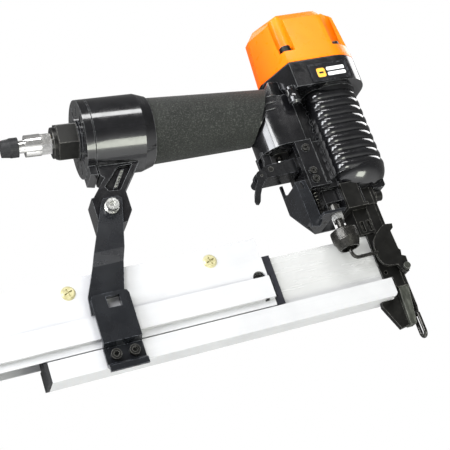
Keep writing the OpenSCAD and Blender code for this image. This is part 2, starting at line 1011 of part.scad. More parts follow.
module nose_tip() {
    color("#5c6258")
    difference() {
        intersection() {
            side_slab(pair(7), [
                [-2.9, 27.5], [4.95, 27.5], [1.3, 0], [-3.3, 0], [-3.2, 20]]);
            end_slab([-10, 10], [
                [-6.4, 27.5], [6.4, 27.5], [3.8, 0], [-3.8, 0]]);
        }
        block([-blade_t / 2 - 0.1, blade_t / 2 + 0.1], pair(blade_hw + 0.15), [-1, 28]);
    }
}

module nose_screws() {
    color(STEEL)
    for (y = nose_screw_y)
        translate([6.2, y, nose_screw_z])
            rotate([0, 90, 0]) {
                socket_screw(5, 21);
                translate([0, 0, -1.2])
                    difference() {
                        cylinder(h = 1.2, r = 4.6);
                        translate([0, 0, -cut])
                            cylinder(h = 4, r = 2.45);
                    }
            }
}

// ---------- magazine ----------

module magazine_rail() {
    wall = 1.8;
    hw = rail_hw;
    color(SILVER)
    difference() {
        side_slab(pair(hw), [
            [rail_x[0], rail_z[0]], [rail_x[0], rail_z[1]], [rail_x[1], rail_z[1]],
            [rail_x[1], 22.8], [-9.1, rail_z[0]]]);
        block([rail_x[0] - cut, rail_x[1] + cut], pair(hw - wall),
            [rail_z[0] + wall, rail_z[1] - wall]);
        for (x = clip_screw_x)
            rod_y([-hw - cut, -hw + wall + cut], 2 + fit, [x, clip_screw_z]);
    }
}

module nail_track() {
    front = -12.1;
    color(SILVER)
    difference() {
        block([rail_x[0] + 9, front], pair(track_hw), [rail_z[1] + 0.02, track_top]);
        block([rail_x[0], front + cut], pair(slot_hw), [rail_z[1] + 3, track_top + cut]);
        for (x = [-230, -170, -110, -50])
            rod_z([rail_z[1] - cut, rail_z[1] + 5], 1.2, [x, 0]);
    }
}

module rail_end_plug() {
    back = rail_x[0] - 2.5;
    color(RUBBER) {
        block([back, rail_x[0] - 0.02], pair(rail_hw), rail_z);
        block([back + 1, rail_x[0] + 10], pair(rail_hw - 2), [23, 32.2]);
        // catch for the latch
        block([back, rail_x[0] - 0.1], pair(track_hw), [rail_z[0] + 5, 40]);
    }
}

// Section of the cover: lower lips, wide band, upper panels and roof
module cover_section() {
    lip = 9.2;
    band = 12.5;
    panel = 10.5;
    t = cover_wall;
    half = [
        [panel - t, cover_top - t], [panel - t, 56.6], [band - t, 54.2], [band - t, 42],
        [lip - 1, 42], [lip - 1, 35.3], [lip, 35.3], [lip, 40.4], [band, 40.4],
        [band, 55.6], [panel, 55.6], [panel, cover_top]];
    n = len(half);
    polygon(concat(half, [for (i = [n - 1 : -1 : 0]) [-half[i][0], half[i][1]]]));
}

module magazine_cover() {
    color(SILVER)
    difference() {
        translate([cover_x[0], 0, 0])
            rotate([90, 0, 90])
                linear_extrude(cover_l)
                    cover_section();
        // notch over the pusher's roller
        rod_y([-10.7, -8], 4.6, [-101, 56.2]);
        block([-102, -99], [-12, -8], [39.2, 41.6]);
        for (x = cover_screw_x)
            rod_y([-14, -8], 1.6, [x, 75.2]);
        rod_y(pair(14), 1.5, latch_at);
    }
}

module cover_screws() {
    color("#c8b070")
    for (x = cover_screw_x)
        translate([x, -10.52, 75.2])
            rotate([90, 0, 0])
                difference() {
                    union() {
                        cylinder(h = 1.4, r1 = 4.9, r2 = 3.6);
                        translate([0, 0, -1.9])
                            cylinder(h = 2, r = 1.6);
                    }
                    for (a = [0, 90])
                        rotate([0, 0, a + 20])
                            translate([-2.8, -0.5, 0.3])
                                cube([5.6, 1, 2]);
                }
}

module cover_end_plug() {
    top = cover_top - cover_wall - 0.1;
    x = cover_x[0] + 0.5;
    color(RUBBER) {
        block([x, x + 3], pair(8.8), [71.2, top]);
        block([x + 2, x + 12], pair(8.8), [top - 2, top]);
    }
}

module pusher() {
    color(STEEL) {
        both_sides()
            side_slab([-7.9, -5.9], [
                [-96.5, 57], [-96.5, 68.8], [-88.3, 68.8], [-88.3, 35.6], [-96, 35.6],
                [-96, 41], [-92, 41], [-92, 57]]);
        block([-112, -88.3], pair(7.9), [69.8, 71]);
        both_sides()
            block([-96.5, -88.3], [-7.9, -5.9], [68.7, 70.5]);
        block([-96, -88.3], pair(slot_hw - 0.2), [38.4, 70]);
        rod_y(pair(7), 1.45, drum_at);
        both_sides()
            side_slab([-7.9, -6.5], [
                [-112, 70], [-112, 76], [-109, 81], [-103, 81], [-99, 76], [-96, 70]]);
    }
}

module pusher_roller() {
    color(BLACK)
    rod_y([-8.4, -5.9], 4, [-101, 55.4]);
}

module pusher_spring() {
    turns = 4;
    color(ZINC)
    block([drum_at[0], cover_front - 2], pair(4), [drum_at[1] + 4.6, drum_at[1] + 5]);
    color(ZINC)
    translate([drum_at[0], 0, drum_at[1]])
        rotate([90, 0, 0])
            translate([0, 0, -5])
                difference() {
                    cylinder(h = 10, r = 5);
                    for (i = [1 : turns - 1])
                        translate([0, 0, 9.5])
                            difference() {
                                cylinder(h = 1, r = 5 - 0.9 * i + 0.25);
                                cylinder(h = 1, r = 5 - 0.9 * i - 0.15);
                            }
                    translate([0, 0, -1])
                        cylinder(h = 12, r = 1.5);
                }
}

// Lever with its hook lifted; it turns down over the catch of the rail's end plug
module magazine_latch() {
    color(STEEL)
    translate([latch_at[0], 0, latch_at[1]])
        rotate([0, -latch_lift, 0])
            difference() {
                union() {
                    rod_y(pair(4), 4, [0, 0]);
                    side_slab(pair(4), [
                        [0, 4], [12.7, 1.5], [12.7, -9], [10, -9], [10, -2.8], [0, -4]]);
                    side_slab(pair(4), [
                        [0, 4], [0, -3], [-11.5, 3], [-14, 7], [-12, 9], [-9.5, 7.5]]);
                }
                rod_y(pair(6), 1.5 + fit, [0, 0]);
            }
}

module latch_pin() {
    color(ZINC)
    rod_y(pair(12.4), 1.5, latch_at);
}

// ---------- magazine strap ----------

// Window through the clip and the strap behind it
module clip_window() {
    block([-208, -199], [-20, -12], [57.3, 65]);
}

module strap() {
    color(BLACK)
    difference() {
        intersection() {
            end_slab([-225, -165], [
                [-9.02, 134.8], [-9.02, 98.5], [-13, 87.5], [-13, 56], [-15.5, 56],
                [-15.5, 87], [-11.5, 98], [-11.5, 134.8]]);
            side_slab([-20, 0], [
                [-188.4, 134.8], [-178.2, 134.8], [-175.9, 132.4], [-184.4, 98], [-189, 87],
                [-194.2, 68], [-196, 56], [-219.6, 56], [-218.5, 68], [-210, 87],
                [-205.3, 98], [-190.6, 132.4]]);
        }
        rod_y([-20, 0], 2.6, bolt_at);
        clip_window();
    }
}

module clip() {
    x = [-218, -192.3];
    color(BLACK)
    difference() {
        intersection() {
            end_slab(x, [
                [-15.52, 67.5], [-15.52, 36.8], [-10.55, 34.6], [-10.55, 21.4],
                [-14.3, 19.6], [-14.3, 17.3], [-16.8, 17.3], [-16.8, 21.2],
                [-13.05, 22.9], [-13.05, 33.2], [-18, 35.4], [-18, 67.5]]);
            side_slab([-30, 0], [
                [x[0], 10], [x[0], 64.5], [x[0] + 1, 66.8], [x[0] + 3, 67.5],
                [x[1] - 3, 67.5], [x[1] - 1, 66.8], [x[1], 64.5], [x[1], 10]]);
        }
        clip_window();
        for (x = clip_screw_x)
            rod_y([-20, -5], 2.1, [x, clip_screw_z]);
    }
}

module clip_screws() {
    color(STEEL)
    for (x = clip_screw_x)
        translate([x, -13.05, clip_screw_z])
            rotate([90, 0, 0])
                socket_screw(4, 7);
}

module arm_bolt() {
    color(ZINC)
    translate([bolt_at[0], -12.5, bolt_at[1]])
        rotate([90, 0, 0]) {
            socket_screw(5, 28);
            translate([0, 0, -0.98])
                difference() {
                    cylinder(h = 0.98, r = 5);
                    translate([0, 0, -cut])
                        cylinder(h = 4, r = 2.45);
                }
        }
}

module arm_nut() {
    color(ZINC)
    translate([bolt_at[0], 9.05, bolt_at[1]])
        rotate([-90, 0, 0])
            difference() {
                cylinder(h = 4, r = 4.62, $fn = 6);
                translate([0, 0, -cut])
                    cylinder(h = 8, r = 2.5);
            }
}

housing();
guide_cover();
guide_cover_screws();
head_gasket();
head_cap();
head_screws();
badge_plate();
cylinder_sleeve();
piston();
piston_ring();
driver_blade();
bumper();
head_valve();
head_valve_spring();
grip_sleeve();
end_cap();
end_cap_seal();
exhaust_cover();
inlet_bushing();
air_plug();
dust_cap();
valve_body();
valve_stem();
stem_spring();
trigger();
trigger_pin();
trip_lever();
lock_lever();
lock_pin();
safety_arm();
safety_guide_pin();
safety_spring();
adjuster_rod();
jam_nut();
depth_knob();
link_wire();
contact_plate();
contact_pin();
contact_tip();
nose_body();
nose_front_plate();
nose_tip();
nose_screws();
magazine_rail();
nail_track();
rail_end_plug();
magazine_cover();
cover_screws();
cover_end_plug();
pusher();
pusher_roller();
pusher_spring();
magazine_latch();
latch_pin();
strap();
clip();
clip_screws();
arm_bolt();
arm_nut();
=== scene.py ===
import math

import bmesh
import bpy
from mathutils import Matrix, Vector


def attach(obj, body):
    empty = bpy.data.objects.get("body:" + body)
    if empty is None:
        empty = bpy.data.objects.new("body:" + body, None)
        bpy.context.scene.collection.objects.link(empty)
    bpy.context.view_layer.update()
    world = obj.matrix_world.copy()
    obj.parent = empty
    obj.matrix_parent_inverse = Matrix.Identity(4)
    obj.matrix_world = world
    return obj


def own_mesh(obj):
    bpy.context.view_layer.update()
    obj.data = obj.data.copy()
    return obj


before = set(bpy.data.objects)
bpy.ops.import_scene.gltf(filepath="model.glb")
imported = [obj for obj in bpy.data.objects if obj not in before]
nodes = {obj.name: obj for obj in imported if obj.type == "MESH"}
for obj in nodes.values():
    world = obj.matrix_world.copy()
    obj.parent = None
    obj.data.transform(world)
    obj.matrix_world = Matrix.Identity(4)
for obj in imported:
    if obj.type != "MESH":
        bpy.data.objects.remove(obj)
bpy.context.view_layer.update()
MM = 0.001


# ---------------------------------------------------------------- materials


class Tree:
    """A Principled material and short helpers for its nodes."""

    def __init__(self, name, metallic=0.0, coat=0.0, coat_rough=0.05, specular=0.5, sheen=0.0):
        self.mat = bpy.data.materials.new(name)
        self.mat.use_nodes = True
        self.nodes = self.mat.node_tree.nodes
        self.links = self.mat.node_tree.links
        self.bsdf = self.nodes["Principled BSDF"]
        self.put("Metallic", metallic)
        self.put("Coat Weight", coat)
        self.put("Coat Roughness", coat_rough)
        self.put("Specular IOR Level", specular)
        self.put("Sheen Weight", sheen)
        self.place = self.nodes.new("ShaderNodeTexCoord").outputs["Object"]

    def put(self, socket, value):
        if isinstance(value, bpy.types.NodeSocket):
            self.links.new(value, self.bsdf.inputs[socket])
        elif isinstance(value, tuple):
            self.bsdf.inputs[socket].default_value = (*value, 1.0)
        else:
            self.bsdf.inputs[socket].default_value = value

    def noise(self, scale, detail=3.0, rough=0.55, stretch=(1, 1, 1)):
        """Noise with features of about 1 / scale metres, 0 to 1."""
        at = self.nodes.new("ShaderNodeMapping")
        at.inputs["Scale"].default_value = stretch
        self.links.new(self.place, at.inputs["Vector"])
        n = self.nodes.new("ShaderNodeTexNoise")
        n.inputs["Scale"].default_value = scale
        n.inputs["Detail"].default_value = detail
        n.inputs["Roughness"].default_value = rough
        self.links.new(at.outputs[0], n.inputs["Vector"])
        return n.outputs["Fac"]

    def ramp(self, fac, *stops):
        """Colours along fac. Each stop is (position, (r, g, b))."""
        r = self.nodes.new("ShaderNodeValToRGB")
        e = r.color_ramp.elements
        while len(e) < len(stops):
            e.new(0.5)
        for el, (at, colour) in zip(e, stops):
            el.position = at
            el.color = (*colour, 1.0)
        self.links.new(fac, r.inputs["Fac"])
        return r.outputs["Color"]

    def span(self, fac, low, high, start=0.3, end=0.7):
        m = self.nodes.new("ShaderNodeMapRange")
        m.inputs["From Min"].default_value = start
        m.inputs["From Max"].default_value = end
        m.inputs["To Min"].default_value = low
        m.inputs["To Max"].default_value = high
        self.links.new(fac, m.inputs["Value"])
        return m.outputs["Result"]

    def blend(self, fac, a, b):
        m = self.nodes.new("ShaderNodeMix")
        m.data_type = "RGBA"
        self.links.new(fac, m.inputs["Factor"])
        for value, socket in ((a, m.inputs[6]), (b, m.inputs[7])):
            if isinstance(value, tuple):
                socket.default_value = (*value, 1.0)
            else:
                self.links.new(value, socket)
        return m.outputs[2]

    def product(self, a, b):
        m = self.nodes.new("ShaderNodeMath")
        m.operation = "MULTIPLY"
        self.links.new(a, m.inputs[0])
        self.links.new(b, m.inputs[1])
        return m.outputs[0]

    def bumps(self, *layers):
        """Bump layers, each (height, depth in metres)."""
        normal = None
        for height, depth in layers:
            b = self.nodes.new("ShaderNodeBump")
            b.inputs["Strength"].default_value = 1.0
            b.inputs["Distance"].default_value = depth
            self.links.new(height, b.inputs["Height"])
            if normal is not None:
                self.links.new(normal, b.inputs["Normal"])
            normal = b.outputs["Normal"]
        self.links.new(normal, self.bsdf.inputs["Normal"])

    def painted_recess_shade(self, reach):
        """Ambient occlusion mask for painted shade: 1 on open faces, down to 0 in corners and pockets
        narrower than reach.
        """
        ao = self.nodes.new("ShaderNodeAmbientOcclusion")
        ao.samples = 6
        ao.inputs["Distance"].default_value = reach
        return self.span(ao.outputs["AO"], 0.0, 1.0, 0.45, 0.95)

    def edges(self, radius, start=0.90, end=0.985):
        """1 along the sharp edges of the mesh, 0 on its faces."""
        soft = self.nodes.new("ShaderNodeBevel")
        soft.samples = 4
        soft.inputs["Radius"].default_value = radius
        flat = self.nodes.new("ShaderNodeNewGeometry")
        d = self.nodes.new("ShaderNodeVectorMath")
        d.operation = "DOT_PRODUCT"
        self.links.new(soft.outputs[0], d.inputs[0])
        self.links.new(flat.outputs["Normal"], d.inputs[1])
        return self.span(d.outputs["Value"], 1.0, 0.0, start, end)


def enamel_black():
    t = Tree("black_enamel", coat=0.5, coat_rough=0.04, specular=0.5)
    base = t.ramp(t.noise(60), (0.3, (0.003, 0.003, 0.0035)), (0.7, (0.008, 0.008, 0.009)))
    # Painted highlight: the colour is lightened in patches along the sharp edges, as edge highlights, partly
    # standing for rubbed wear.
    rubbed_and_painted_sheen = t.product(t.edges(0.0006), t.span(t.noise(300, 3), 0.3, 1.0, 0.38, 0.58))
    t.put("Base Color", t.blend(rubbed_and_painted_sheen, base, (0.20, 0.205, 0.21)))
    t.put("Roughness", t.span(t.noise(140, 4), 0.10, 0.24))
    t.bumps((t.noise(240, 2), 0.000004))
    # Painted shade: specular and coat are turned down by ambient occlusion in corners, pockets and between
    # the ribs.
    open_face = t.painted_recess_shade(0.006)
    t.put("Specular IOR Level", t.span(open_face, 0.12, 0.5, 0.0, 1.0))
    t.put("Coat Weight", t.span(open_face, 0.05, 0.6, 0.0, 1.0))
    return t.mat


def enamel_orange():
    t = Tree("orange_enamel", coat=0.1, coat_rough=0.1, specular=0.2)
    base = t.ramp(t.noise(45), (0.3, (0.93, 0.19, 0.002)), (0.7, (1.0, 0.235, 0.004)))
    # painted shade: the orange turns redder and darker towards the head's rear, where less light falls
    axes = t.nodes.new("ShaderNodeSeparateXYZ")
    t.links.new(t.place, axes.inputs[0])
    base = t.blend(t.span(axes.outputs["X"], 1.0, 0.0, -0.044, -0.030), base, (0.93, 0.115, 0.001))
    specks = t.span(t.noise(900, 2), 0.0, 0.35, 0.66, 0.76)
    t.put("Base Color", t.blend(specks, base, (0.78, 0.12, 0.002)))
    t.put("Roughness", t.span(t.noise(160, 3), 0.24, 0.38))
    t.bumps((t.noise(300, 2), 0.000015), (t.noise(2400, 2), 0.000001))
    return t.mat


def satin_black():
    t = Tree("satin_black", specular=0.4, coat=0.3, coat_rough=0.16)
    base = t.ramp(t.noise(60), (0.3, (0.005, 0.0055, 0.007)), (0.7, (0.008, 0.009, 0.011)))
    worn = t.product(t.edges(0.0005), t.span(t.noise(260, 4), 0.1, 0.9, 0.42, 0.60))
    t.put("Base Color", t.blend(worn, base, (0.14, 0.15, 0.17)))
    t.put("Roughness", t.span(t.noise(90, 3), 0.24, 0.32))
    t.bumps((t.noise(260, 3), 0.000008), (t.noise(2400, 2), 0.000001))
    # Painted shade: specular is turned down by ambient occlusion in corners and pockets.
    t.put("Specular IOR Level", t.span(t.painted_recess_shade(0.005), 0.05, 0.4, 0.0, 1.0))
    return t.mat


def black_oxide():
    t = Tree("black_oxide", metallic=0.55, specular=0.4)
    base = t.ramp(
        t.noise(110, 5),
        (0.30, (0.007, 0.0068, 0.0062)), (0.55, (0.011, 0.0108, 0.0098)), (0.75, (0.018, 0.0176, 0.016)))
    worn = t.product(t.edges(0.0006), t.span(t.noise(420, 4), 0.15, 1.0, 0.36, 0.58))
    scratch = t.span(t.noise(260, 3, 0.6, (1, 1, 9)), 0.0, 0.25, 0.68, 0.76)
    base = t.blend(scratch, base, (0.09, 0.089, 0.082))
    t.put("Base Color", t.blend(worn, base, (0.24, 0.235, 0.215)))
    t.put("Roughness", t.span(t.noise(220, 4), 0.33, 0.46))
    t.bumps((t.noise(520, 4), 0.000012), (t.noise(2400, 2), 0.000002))
    return t.mat


def black_bright():
    """Oiled black steel with a polish, for wire, rod and knob."""
    t = Tree("oiled_steel", metallic=0.8, specular=0.5)
    base = t.ramp(t.noise(300, 4), (0.3, (0.030, 0.029, 0.027)), (0.7, (0.060, 0.058, 0.053)))
    rubbed_and_painted_sheen = t.span(t.noise(700, 3), 0.0, 0.5, 0.60, 0.74)
    t.put("Base Color", t.blend(rubbed_and_painted_sheen, base, (0.16, 0.155, 0.145)))
    t.put("Roughness", t.span(t.noise(500, 3), 0.20, 0.34))
    t.bumps((t.noise(1500, 3), 0.00001))
    return t.mat


def worn_steel():
    t = Tree("worn_steel", metallic=0.75, specular=0.5)
    base = t.ramp(
        t.noise(350, 5, 0.65, (1, 1, 0.3)),
        (0.30, (0.045, 0.047, 0.040)), (0.52, (0.10, 0.105, 0.090)), (0.72, (0.20, 0.205, 0.18)))
    worn = t.product(t.edges(0.0006), t.span(t.noise(500, 3), 0.2, 1.0, 0.35, 0.55))
    t.put("Base Color", t.blend(worn, base, (0.42, 0.42, 0.39)))
    t.put("Roughness", t.span(t.noise(420, 4, 0.6, (1, 1, 0.4)), 0.32, 0.55))
    t.bumps((t.noise(600, 5, 0.65, (1, 1, 0.25)), 0.00005), (t.noise(2800, 2), 0.00001))
    return t.mat


def zinc(name, dark, light, rough=(0.16, 0.32), depth=0.000003, metallic=0.9):
    t = Tree(name, metallic=metallic)
    base = t.ramp(t.noise(320, 4), (0.3, dark), (0.7, light))
    grime = t.span(t.noise(150, 4), 0.0, 0.35, 0.58, 0.72)
    t.put("Base Color", t.blend(grime, base, tuple(c * 0.45 for c in dark)))
    t.put("Roughness", t.span(t.noise(420, 3), *rough))
    t.bumps((t.noise(1400, 3), depth))
    return t.mat


def foam():
    t = Tree("foam_rubber", specular=0.25, sheen=0.08)
    t.bsdf.inputs["Sheen Roughness"].default_value = 0.5
    base = t.ramp(t.noise(55, 4), (0.3, (0.010, 0.011, 0.0095)), (0.7, (0.016, 0.0175, 0.015)))
    grain = t.span(t.noise(1100, 2, 0.7), 0.0, 0.9, 0.52, 0.70)
    t.put("Base Color", t.blend(grain, base, (0.060, 0.064, 0.056)))
    t.put("Roughness", t.span(t.noise(900, 3), 0.60, 0.85))
    t.bumps((t.noise(1500, 4, 0.7), 0.00022), (t.noise(420, 3), 0.00012))
    return t.mat


def rubber():
    t = Tree("seal_rubber", specular=0.3)
    t.put("Base Color", t.ramp(t.noise(200, 4), (0.3, (0.008, 0.008, 0.009)), (0.7, (0.018, 0.018, 0.019))))
    t.put("Roughness", t.span(t.noise(420, 3), 0.42, 0.62))
    t.bumps((t.noise(1300, 3), 0.00003))
    return t.mat


def anodised():
    t = Tree("anodised", metallic=0.1, specular=0.5)
    base = t.ramp(t.noise(38, 4), (0.3, (0.47, 0.47, 0.480)), (0.7, (0.52, 0.52, 0.527)))
    lines = t.span(t.noise(900, 3, 0.6, (0.012, 1, 1)), 0.0, 0.35, 0.5, 0.8)
    base = t.blend(lines, base, (0.44, 0.44, 0.45))
    scuffs = t.span(t.noise(130, 5, 0.7), 0.0, 0.25, 0.64, 0.74)
    t.put("Base Color", t.blend(scuffs, base, (0.41, 0.41, 0.42)))
    t.put("Roughness", t.span(t.noise(260, 4, 0.6, (0.1, 1, 1)), 0.32, 0.46))
    t.bumps((t.noise(700, 3, 0.6, (0.015, 1, 1)), 0.000004), (t.noise(2400, 2), 0.000001))
    return t.mat


def track_metal():
    t = Tree("track", metallic=0.25, specular=0.7)
    base = t.ramp(t.noise(30, 3), (0.3, (0.54, 0.54, 0.535)), (0.7, (0.59, 0.59, 0.585)))
    lines = t.span(t.noise(900, 2, 0.6, (0.008, 1, 1)), 0.0, 0.12, 0.48, 0.75)
    t.put("Base Color", t.blend(lines, base, (0.50, 0.505, 0.495)))
    t.put("Roughness", t.span(t.noise(200, 3, 0.6, (0.1, 1, 1)), 0.20, 0.30))
    t.bumps((t.noise(500, 3, 0.6, (0.02, 1, 1)), 0.000002))
    return t.mat


def painted(name, dark, light, rough=(0.35, 0.55)):
    t = Tree(name, specular=0.2)
    base = t.ramp(t.noise(110, 4), (0.3, dark), (0.7, light))
    worn = t.product(t.edges(0.0004), t.span(t.noise(360, 4), 0.0, 0.5, 0.44, 0.6))
    t.put("Base Color", t.blend(worn, base, (0.30, 0.31, 0.34)))
    t.put("Roughness", t.span(t.noise(300, 3), *rough))
    t.bumps((t.noise(600, 3), 0.00001))
    return t.mat


MATERIALS = {
    "black_enamel": enamel_black(),
    "orange_enamel": enamel_orange(),
    "satin_black": satin_black(),
    "badge": painted("badge", (0.010, 0.010, 0.011), (0.018, 0.018, 0.020), (0.12, 0.25)),
    "foam_rubber": foam(),
    "seal_rubber": rubber(),
    "black_oxide": black_oxide(),
    "worn_steel": worn_steel(),
    "bright_zinc": zinc("bright_zinc", (0.62, 0.62, 0.60), (0.82, 0.82, 0.79)),
    "yellow_zinc": zinc("yellow_zinc", (0.42, 0.38, 0.19), (0.60, 0.56, 0.34), (0.3, 0.45), metallic=0.35),
    "chrome": zinc("chrome", (0.66, 0.65, 0.62), (0.86, 0.85, 0.83), (0.06, 0.16), 0.000001),
    "anodised": anodised(),
    "track": track_metal(),
    "charcoal": painted("charcoal", (0.014, 0.014, 0.018), (0.026, 0.026, 0.033)),
    "machined": zinc("machined", (0.55, 0.55, 0.56), (0.74, 0.74, 0.75)),
    "spring_steel": zinc("spring_steel", (0.26, 0.26, 0.25), (0.46, 0.46, 0.45)),
    "valve_plastic": painted("valve_plastic", (0.05, 0.05, 0.052), (0.08, 0.08, 0.085)),
}
OILED = black_bright()
TRIGGER = painted("trigger_black", (0.006, 0.006, 0.0065), (0.010, 0.0103, 0.011), (0.22, 0.32))
BRASSY = zinc("brassy_thread", (0.42, 0.33, 0.18), (0.70, 0.60, 0.40))
PRINT_ORANGE = painted("badge_orange", (0.95, 0.42, 0.04), (1.0, 0.50, 0.07), (0.2, 0.35))
PRINT_WHITE = painted("badge_white", (0.78, 0.78, 0.78), (0.88, 0.88, 0.88), (0.2, 0.35))

OWN = {
    "adjuster_rod": OILED, "depth_knob": OILED, "link_wire": OILED, "safety_spring": OILED,
    "stem_spring": OILED, "contact_tip": OILED, "trigger": TRIGGER, "lock_lever": TRIGGER,
    "trigger_pin": MATERIALS["black_oxide"], "lock_pin": MATERIALS["black_oxide"],
    "valve_body": MATERIALS["black_oxide"], "safety_guide_pin": MATERIALS["black_oxide"],
}


# ---------------------------------------------------------------- CAD nodes

# Nodes whose edges stay as they are: coils, wire and parts with very small facets
PLAIN = {"head_valve_spring", "stem_spring", "safety_spring", "link_wire", "depth_knob",
         "adjuster_rod", "piston_ring", "pusher_spring"}
# Edge radius in millimetres, where it isn't 0.3
EDGE = {
    "housing": 0.6, "head_cap": 1.2, "end_cap": 0.7, "exhaust_cover": 0.5, "grip_sleeve": 1.0,
    "strap": 1.1, "clip": 1.1, "magazine_cover": 0.35, "magazine_rail": 0.5, "nail_track": 0.2,
    "guide_cover": 0.8, "trigger": 0.35, "dust_cap": 0.6, "inlet_bushing": 0.5,
    "contact_plate": 0.25, "nose_tip": 0.3, "jam_nut": 0.3, "pusher": 0.6,
}
# Bent strips, whose bends are rounded too
BENT = {"strap", "clip"}
for name, obj in nodes.items():
    for s in obj.material_slots:
        slot = s.material.name.split(".")[0]
        s.material = OWN.get(name) or MATERIALS[slot]
    if name in PLAIN:
        continue
    flat = obj.modifiers.new("merge_faces", "DECIMATE")
    flat.decimate_type = "DISSOLVE"
    flat.angle_limit = math.radians(0.6)
    edge = obj.modifiers.new("edges", "BEVEL")
    edge.limit_method = "ANGLE"
    edge.angle_limit = math.radians(12 if name in BENT else 32)
    edge.width = EDGE.get(name, 0.3) * MM
    edge.segments = 3
    edge.use_clamp_overlap = True
    soft = obj.modifiers.new("soft_normals", "WEIGHTED_NORMAL")
    soft.keep_sharp = True


# ---------------------------------------------------------------- new pieces


def add(name, body, slot, material, verts, faces, smooth=True, mats=None, face_mats=None):
    mesh = bpy.data.meshes.new(name)
    mesh.from_pydata([(x * MM, y * MM, z * MM) for x, y, z in verts], [], faces)
    for m in mats or [material]:
        mesh.materials.append(m)
    if face_mats:
        for p, k in zip(mesh.polygons, face_mats):
            p.material_index = k
    b = bmesh.new()
    b.from_mesh(mesh)
    bmesh.ops.recalc_face_normals(b, faces=b.faces)
    b.to_mesh(mesh)
    b.free()
    mesh.shade_smooth() if smooth else mesh.shade_flat()
    obj = bpy.data.objects.new(name, mesh)
    bpy.context.scene.collection.objects.link(obj)
    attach(obj, body)
    return obj


def turn(n):
    """n equal steps of a full turn, in radians."""
    return [2 * math.pi * k / n for k in range(n)]


def sweep(path, radius, sides=16):
    """Tube along path with flat ends. radius is a function of the fraction along the path."""
    pts = [Vector(p) for p in path]
    n = len(pts)
    verts, faces, rings = [], [], []
    for i, p in enumerate(pts):
        a = pts[max(i - 1, 0)]
        b = pts[min(i + 1, n - 1)]
        along = (b - a).normalized()
        side = along.cross(Vector((0, 0, 1))).normalized()
        top = side.cross(along).normalized()
        r = radius(i / (n - 1))
        rings.append(len(verts))
        for w in turn(sides):
            verts.append(p + r * (math.cos(w) * side + math.sin(w) * top))
    for a, b in zip(rings, rings[1:]):
        for k in range(sides):
            l = (k + 1) % sides
            faces.append((a + k, a + l, b + l, b + k))
    faces.append(tuple(rings[0] + k for k in reversed(range(sides))))
    faces.append(tuple(rings[-1] + k for k in range(sides)))
    return verts, faces


def join(parts):
    verts, faces = [], []
    for v, f in parts:
        k = len(verts)
        verts += v
        faces += [tuple(i + k for i in q) for q in f]
    return verts, faces


def arc(cx, cy, r, a0, a1, n):
    return [
        (cx + r * math.cos(math.radians(a0 + (a1 - a0) * i / n)),
         cy + r * math.sin(math.radians(a0 + (a1 - a0) * i / n)))
        for i in range(n + 1)
    ]


# Bulging ribs of the barrel, and the dome under them
RIB_R, RIB_SAG, RIB_PITCH, RIB_Z, BARREL_BACK, CORNER_R = 24.22, 1.6, 7.15, 119.9, -21.04, 8.0


def barrel_plan(r, z):
    cx, cy = BARREL_BACK + CORNER_R, r - CORNER_R
    plan = arc(0, 0, r, -90, 90, 72)
    plan += arc(cx, cy, CORNER_R, 90, 180, 12)
    plan += arc(cx, -cy, CORNER_R, 180, 270, 12)
    return [Vector((x, y, z)) for x, y in plan]


def loft(rings, around=False):
    """Closed skin through rings of equal length: flat ends, or the last ring joined to the first."""
    n = len(rings[0])
    verts = [v for r in rings for v in r]
    faces = [
        (a * n + k, a * n + (k + 1) % n, (a + 1) * n + (k + 1) % n, (a + 1) * n + k)
        for a in range(len(rings) - 1) for k in range(n)
    ]
    if around:
        last = (len(rings) - 1) * n
        faces += [(last + k, last + (k + 1) % n, (k + 1) % n, k) for k in range(n)]
        return verts, faces
    faces.append(tuple(reversed(range(n))))
    faces.append(tuple((len(rings) - 1) * n + k for k in range(n)))
    return verts, faces


STEPS, RIB_COUNT, RIB_GROOVE = 12, 9, 0.25
rings = []
for i in range(RIB_COUNT):
    for k in range(STEPS):
        t = k / STEPS * 2 - 1
        z = RIB_Z + RIB_PITCH * (i + t / 2)
        r = RIB_R - RIB_SAG * abs(t) ** 2.2 - (RIB_GROOVE if k == 0 and i else 0)
        rings.append(barrel_plan(r, z))
rings.append(barrel_plan(RIB_R - RIB_SAG, RIB_Z + RIB_PITCH * (RIB_COUNT - 0.5)))
# Inside, both skins run within the casting's wall, clear of the cylinder
WALL_R = 20.2
for z in (rings[-1][0].z, rings[0][0].z):
    rings.append([Vector((p.x, p.y, 0)).normalized() * WALL_R + Vector((0, 0, z)) for p in rings[0]])
add("barrel_ribs", "body", "black_enamel", MATERIALS["black_enamel"], *loft(rings, around=True))

DOME_R, DOME_Z, BARREL_SIDE = 16.05, 120.0, 23.95
dome = [
    [Vector((r * math.cos(w), r * math.sin(w), z)) for w in turn(96)]
    for r, z in [
        (BARREL_SIDE - DOME_R + DOME_R * math.cos(a), DOME_Z + DOME_R * math.sin(a))
        for a in [math.radians(-90 + 90 * k / 20) for k in range(21)]
    ] + [(WALL_R, DOME_Z), (17.6, 112.0), (6.8, 106.6)]
]
add("barrel_dome", "body", "black_enamel", MATERIALS["black_enamel"], *loft(dome, around=True))

# Rounded ends of the rear screw bosses under the head
BOSS_X, BOSS_Y = -35, 25
bosses = []
for side in (-1, 1):
    prof = [(0.2, 171.9), (1.6, 172.0), (2.9, 172.5), (3.9, 173.5), (4.4, 174.8), (4.56, 176.2), (4.56, 183)]
    bosses.append(loft([
        [Vector((BOSS_X + r * math.cos(w), BOSS_Y * side + r * math.sin(w), z)) for w in turn(40)]
        for r, z in prof]))
add("boss_ends", "body", "black_enamel", MATERIALS["black_enamel"], *join(bosses))

# Short raised cast marks on the column, near side
COLUMN_X, COLUMN_R = -47.5, 19.0


def mark_radius(t):
    return 0.2 + 0.4 * math.sin(math.pi * min(max(t, 0.02), 0.98)) ** 0.4


